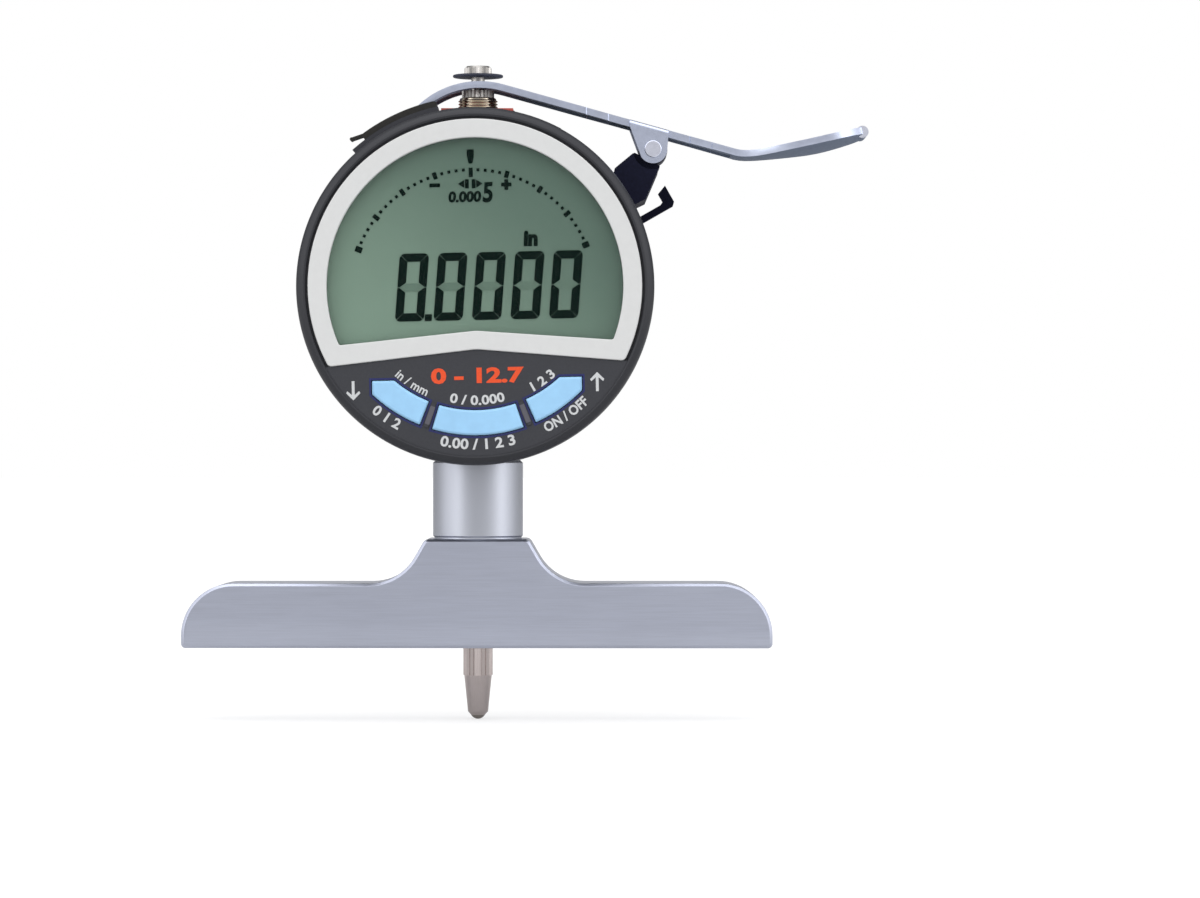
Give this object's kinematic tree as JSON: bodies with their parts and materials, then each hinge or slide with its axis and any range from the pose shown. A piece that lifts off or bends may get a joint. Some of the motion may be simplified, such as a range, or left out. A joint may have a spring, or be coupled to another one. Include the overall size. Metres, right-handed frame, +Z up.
{
  "type": "digital depth gauge",
  "caption": "Depth gauge: flat beam base with a clamped digital indicator, round turning display head, spring-loaded spindle with fluted contact point and a lifting lever.",
  "frame": {"origin": "centre of the base's measuring face, on the spindle's axis", "axes": "+Z up along the spindle, away from the measuring face; +X to the right along the base, towards the lever's thumb pad, with the display seen from the front; -Y is the front, where the display faces"},
  "size_m": [0.1183, 0.0307, 0.1132],
  "materials": {
    "ground_steel": "satin lapped and ground",
    "turned_steel": "fine turned",
    "carbide": "polished ball",
    "lever_steel": "pressed and plated, satin",
    "spring_steel": "drawn wire",
    "nickel": "plated, bright",
    "screw_steel": "zinc plated",
    "brass_bush": "turned",
    "case_metal": "anodised, dark grey",
    "bezel_plastic": "fine satin, dark grey",
    "panel_plastic": "fine matt, dark grey",
    "frame_plastic": "smooth, light grey",
    "lens": "clear hard window",
    "lcd_glass": "grey-green display glass",
    "button_rubber": "light blue silicone",
    "black_rubber": "moulded, matt",
    "red_gasket": "cut sheet",
    "bracket_black": "stoved black enamel",
    "board": "solder mask",
    "chip": "moulded",
    "inner_plastic": "moulded",
    "inner_aluminium": "machined",
    "scale_glass": "etched scale",
    "contact_gold": "plated leaf",
    "cell_steel": "button cell can"
  },
  "bodies": {
    "gauge_body": {"base_beam": "ground_steel", "holder_sleeve": "turned_steel", "clamp_screw": "screw_steel", "stem": "turned_steel", "lower_bush": "brass_bush", "case_body": "case_metal", "rear_cover": "case_metal", "cover_gasket": "black_rubber", "cover_screws": "screw_steel", "top_bush": "nickel", "seal_plate": "red_gasket", "data_port": "inner_plastic", "battery_contact": "contact_gold", "inner_frame": "inner_aluminium", "detector_board": "board", "guide_rail": "inner_aluminium", "lever_bracket": "bracket_black", "bracket_screws": "screw_steel", "return_spring": "spring_steel"},
    "display_head": {"bezel_ring": "bezel_plastic", "front_panel": "panel_plastic", "display_frame": "frame_plastic", "window_lens": "lens", "lcd_panel": "lcd_glass", "contact_strips": "black_rubber", "main_board": "board", "controller_chip": "chip", "key_mat": "black_rubber", "head_plate": "inner_plastic", "head_seal": "black_rubber", "hub_ring": "inner_aluminium", "head_screws": "screw_steel"},
    "left_button": {"button_left": "button_rubber"},
    "centre_button": {"button_centre": "button_rubber"},
    "right_button": {"button_right": "button_rubber"},
    "spindle_unit": {"spindle_rod": "turned_steel", "contact_point": "turned_steel", "contact_ball": "carbide", "lift_collar": "nickel", "lift_washer": "bracket_black", "cap_screw": "nickel", "scale_block": "inner_aluminium", "main_scale": "scale_glass", "guide_pin": "turned_steel"},
    "lift_lever": {"lifting_lever": "lever_steel", "pivot_rivet": "lever_steel"},
    "data_port_cap": {"port_cap": "black_rubber"},
    "battery_tray": {"battery_drawer": "inner_plastic", "coin_cell": "cell_steel"}
  },
  "joints": [
    {"name": "head_turn", "type": "hinge", "parent": "gauge_body", "child": "display_head", "pos_m": [0, 0, 0.0618], "axis": [0, 1, 0], "range_deg": [-165, 165]},
    {"name": "left_button_press", "type": "slide", "parent": "display_head", "child": "left_button", "axis": [0, 1, 0], "range_m": [0, 0.0004], "stiffness_N_per_m": 500, "springref_m": -0.0008},
    {"name": "centre_button_press", "type": "slide", "parent": "display_head", "child": "centre_button", "axis": [0, 1, 0], "range_m": [0, 0.0004], "stiffness_N_per_m": 500, "springref_m": -0.0008},
    {"name": "right_button_press", "type": "slide", "parent": "display_head", "child": "right_button", "axis": [0, 1, 0], "range_m": [0, 0.0004], "stiffness_N_per_m": 500, "springref_m": -0.0008},
    {"name": "spindle_travel", "type": "slide", "parent": "gauge_body", "child": "spindle_unit", "axis": [0, 0, 1], "range_m": [0, 0.0127], "stiffness_N_per_m": 30, "springref_m": -0.035, "deforming": ["return_spring"]},
    {"name": "lever_lift", "type": "hinge", "parent": "gauge_body", "child": "lift_lever", "pos_m": [0.0303, 0, 0.08585], "axis": [0, 1, 0], "range_deg": [0, 24.95]},
    {"name": "port_cap_pull", "type": "slide", "parent": "gauge_body", "child": "data_port_cap", "axis": [-0.4131, 0, 0.9107], "range_m": [0, 0.006]},
    {"name": "battery_slide", "type": "slide", "parent": "gauge_body", "child": "battery_tray", "axis": [-1, 0, 0], "range_m": [0, 0.018]}
  ],
  "couplings": [
    {"joint": "lever_lift", "follows": "spindle_travel", "rad_per_m": 34.2}
  ]
}
